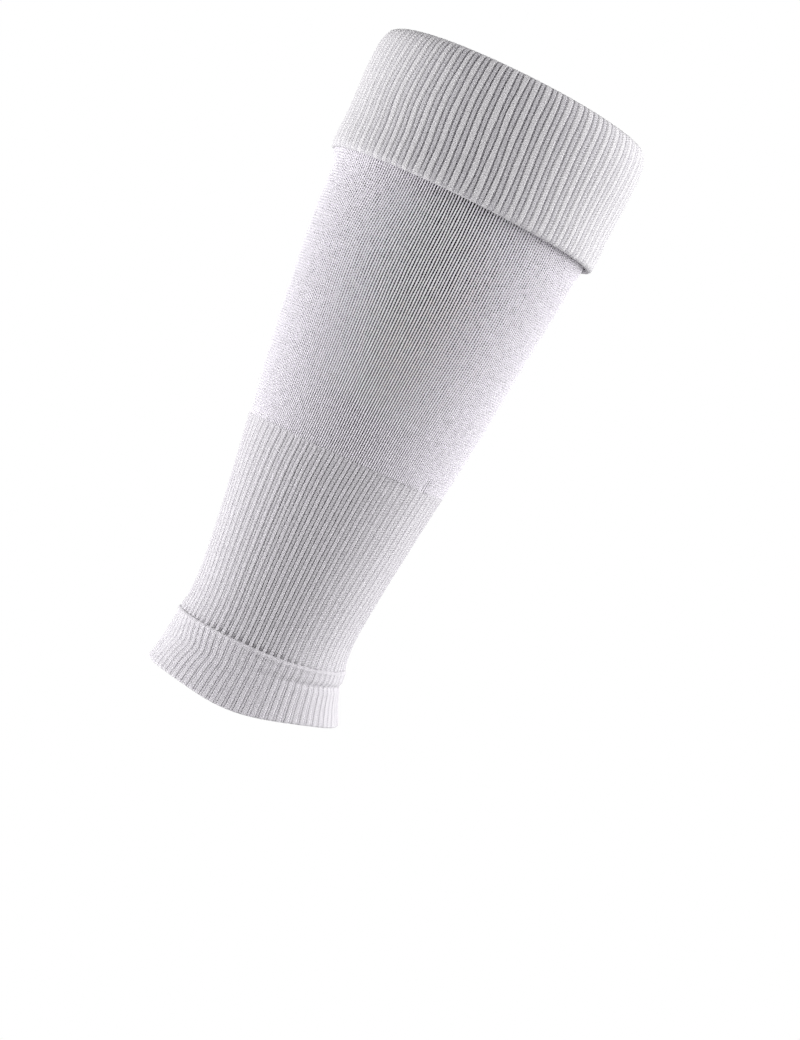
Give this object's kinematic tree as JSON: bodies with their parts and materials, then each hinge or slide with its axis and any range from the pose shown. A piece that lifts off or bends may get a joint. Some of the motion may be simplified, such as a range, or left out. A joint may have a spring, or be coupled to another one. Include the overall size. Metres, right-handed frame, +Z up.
{
  "type": "footless football sock",
  "caption": "Knitted white leg sleeve, open at both ends, with a turned-down ribbed cuff, a plain jersey calf, a ribbed ankle and a flared hem; worn over the shin.",
  "frame": {"origin": "centre of the ankle opening, on the axis of the leg, level with the hem's lower edge at the sides", "axes": "+Z up along the leg towards the knee, -Y towards the front, +X to the right as seen from the front"},
  "size_m": [0.135, 0.1348, 0.3069],
  "materials": {
    "cuff_rib_knit": "ribbed knit, matt",
    "jersey_knit": "plain jersey knit, matt",
    "ankle_rib_knit": "one-by-one rib knit, matt",
    "hem_welt_knit": "doubled rib welt, matt"
  },
  "bodies": {
    "root": {"turned_cuff": "cuff_rib_knit", "calf_tube": "jersey_knit", "ankle_rib": "ankle_rib_knit", "ankle_hem": "hem_welt_knit"}
  },
  "joints": []
}
